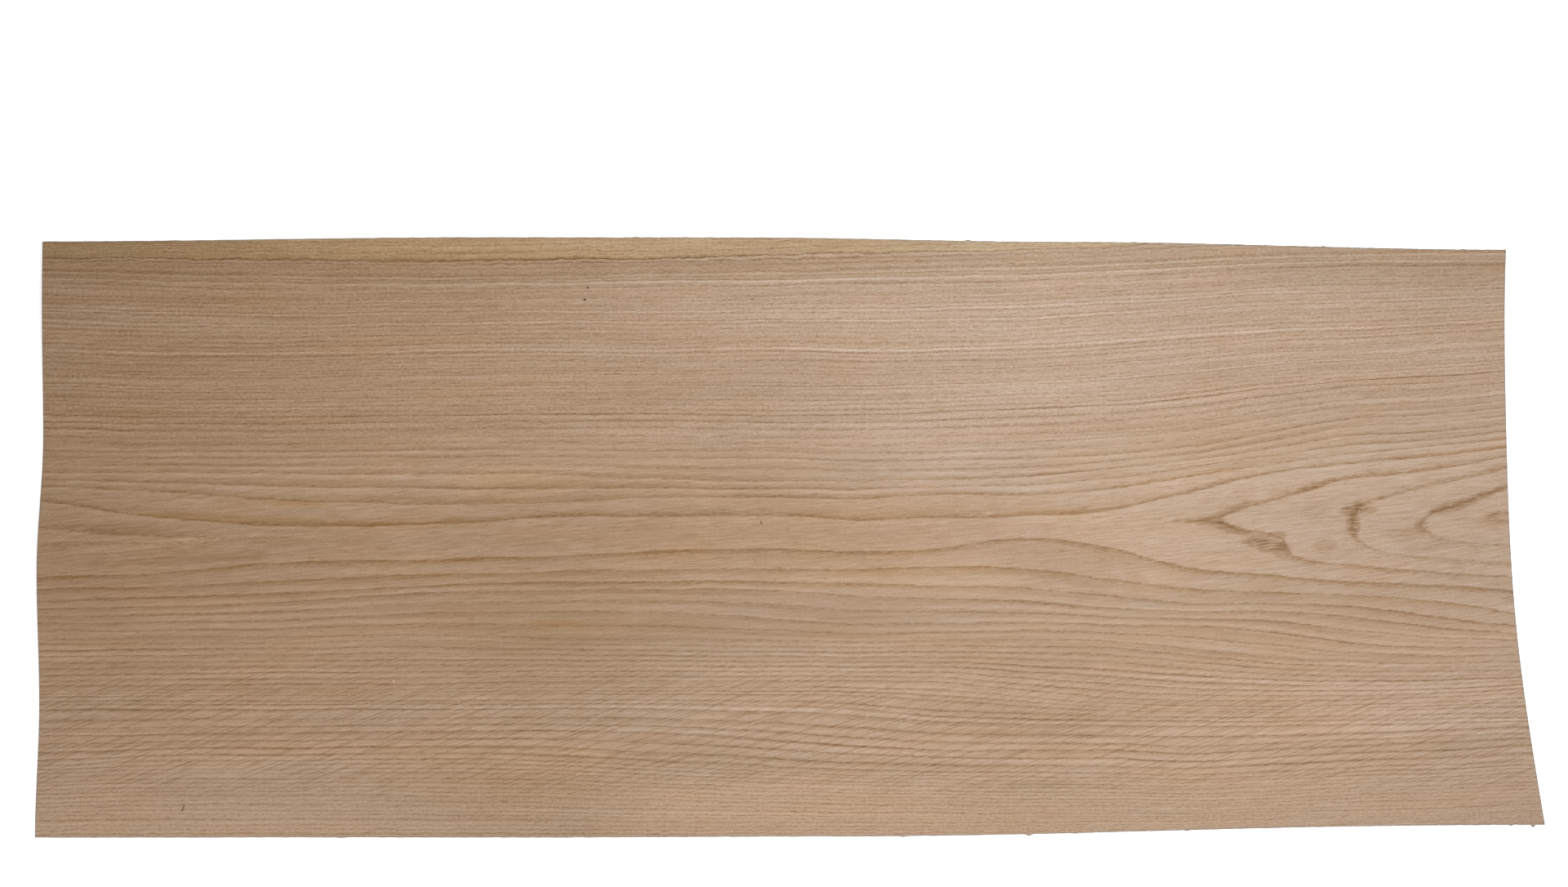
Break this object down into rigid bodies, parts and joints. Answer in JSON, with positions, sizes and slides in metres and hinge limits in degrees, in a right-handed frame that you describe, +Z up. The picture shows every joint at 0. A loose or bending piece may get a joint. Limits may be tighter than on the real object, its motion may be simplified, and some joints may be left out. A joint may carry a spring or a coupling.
{
  "type": "wood veneer sheet",
  "caption": "Thin crown-cut oak veneer leaf, lying flat with slightly wavy ends, one straight end and one end cut on a long arc, for gluing to a flat board.",
  "frame": {"origin": "middle of the leaf's overall rectangle, on the floor that it lies on", "axes": "+X along the grain towards the end that is cut on an arc, +Y across the grain, +Z up from the face that lies down to the face that shows"},
  "size_m": [1.177, 0.469, 0.0051],
  "materials": {
    "oak_face": "sliced and unfinished, matt, with growth-ring bands, fine pores and ray lines"
  },
  "bodies": {
    "root": {"veneer_sheet": "oak_face"}
  },
  "joints": []
}
